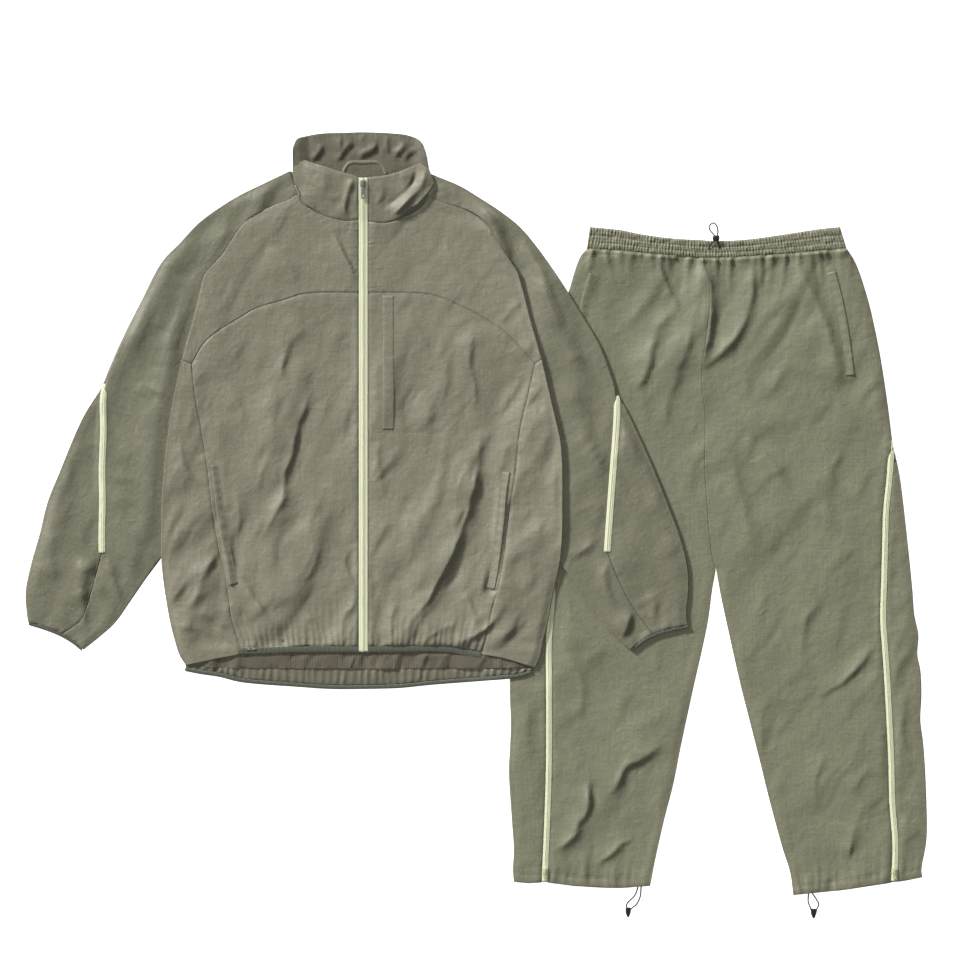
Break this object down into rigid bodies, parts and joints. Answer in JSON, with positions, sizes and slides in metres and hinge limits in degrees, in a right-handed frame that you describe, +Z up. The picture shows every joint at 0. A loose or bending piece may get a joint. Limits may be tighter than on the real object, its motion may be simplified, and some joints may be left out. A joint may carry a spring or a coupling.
{
  "type": "tracksuit laid flat",
  "caption": "Thin nylon zip jacket with a stand collar, laid flat partly over matching trousers with zips up the outer legs.",
  "frame": {"origin": "middle of the bounding box of both garments, on the surface they lie on", "axes": "+Z up from the surface, +X across from the jacket to the trousers, +Y from the hems to the collar"},
  "size_m": [1.377, 1.2018, 0.0215],
  "materials": {
    "jacket_cloth": "olive-grey crinkled nylon, slight sheen",
    "trouser_cloth": "olive-grey crinkled nylon, slight sheen",
    "binding": "dark grey-green elastic binding",
    "zip_tape": "pale lime woven tape with reversed coil",
    "mesh": "brownish mesh lining",
    "metal": "dark plated metal",
    "cord": "near-black round cord",
    "cord_fitting": "near-black moulded plastic"
  },
  "bodies": {
    "garments": {"front_right": "jacket_cloth", "front_left": "jacket_cloth", "front_side_right": "jacket_cloth", "front_side_left": "jacket_cloth", "front_yoke_right": "jacket_cloth", "front_yoke_left": "jacket_cloth", "sleeve_front_right": "jacket_cloth", "sleeve_front_left": "jacket_cloth", "sleeve_outer_right": "jacket_cloth", "sleeve_outer_left": "jacket_cloth", "sleeve_back_right": "jacket_cloth", "sleeve_back_left": "jacket_cloth", "cuff_binding_front_right": "binding", "cuff_binding_front_left": "binding", "cuff_binding_back_right": "binding", "cuff_binding_back_left": "binding", "hem_binding_front_right": "binding", "hem_binding_front_left": "binding", "collar_front_right": "jacket_cloth", "collar_front_left": "jacket_cloth", "collar_back": "jacket_cloth", "pocket_welt_right": "jacket_cloth", "pocket_welt_left": "jacket_cloth", "sleeve_stripe_right": "zip_tape", "sleeve_stripe_left": "zip_tape", "body_back": "jacket_cloth", "hem_casing_back": "jacket_cloth", "hem_binding_back": "binding", "mesh_lining": "mesh", "hanger_loop": "jacket_cloth", "chest_placket": "jacket_cloth", "front_zip_tape_right": "zip_tape", "front_zip_tape_left": "zip_tape", "front_zip_slider": "metal", "leg_front_right": "trouser_cloth", "leg_front_left": "trouser_cloth", "leg_side_right": "trouser_cloth", "leg_side_left": "trouser_cloth", "leg_back_right": "trouser_cloth", "leg_back_left": "trouser_cloth", "leg_zip_right": "zip_tape", "leg_zip_left": "zip_tape", "leg_zip_slider_right": "metal", "leg_zip_slider_left": "metal", "leg_pocket_welt_right": "trouser_cloth", "leg_pocket_welt_left": "trouser_cloth", "waistband_front": "trouser_cloth", "waistband_back": "trouser_cloth", "waist_cord": "cord", "waist_stopper": "cord_fitting", "hem_cord_right": "cord", "hem_cord_left": "cord", "hem_cord_end_right": "cord_fitting", "hem_cord_end_left": "cord_fitting"},
    "front_pull": {"front_zip_pull": "metal"},
    "leg_pull_right": {"leg_zip_pull_right": "metal"},
    "leg_pull_left": {"leg_zip_pull_left": "metal"}
  },
  "joints": [
    {"name": "front_pull_hinge", "type": "hinge", "parent": "garments", "child": "front_pull", "pos_m": [-0.17275, 0.50318, 0.01874], "axis": [-1, 0, 0], "range_deg": [0, 160]},
    {"name": "leg_pull_right_hinge", "type": "hinge", "parent": "garments", "child": "leg_pull_right", "pos_m": [0.10455, -0.54666, 0.0092], "axis": [-1, 0, 0], "range_deg": [0, 160]},
    {"name": "leg_pull_left_hinge", "type": "hinge", "parent": "garments", "child": "leg_pull_left", "pos_m": [0.63855, -0.54616, 0.0092], "axis": [-1, 0, 0], "range_deg": [0, 160]}
  ]
}
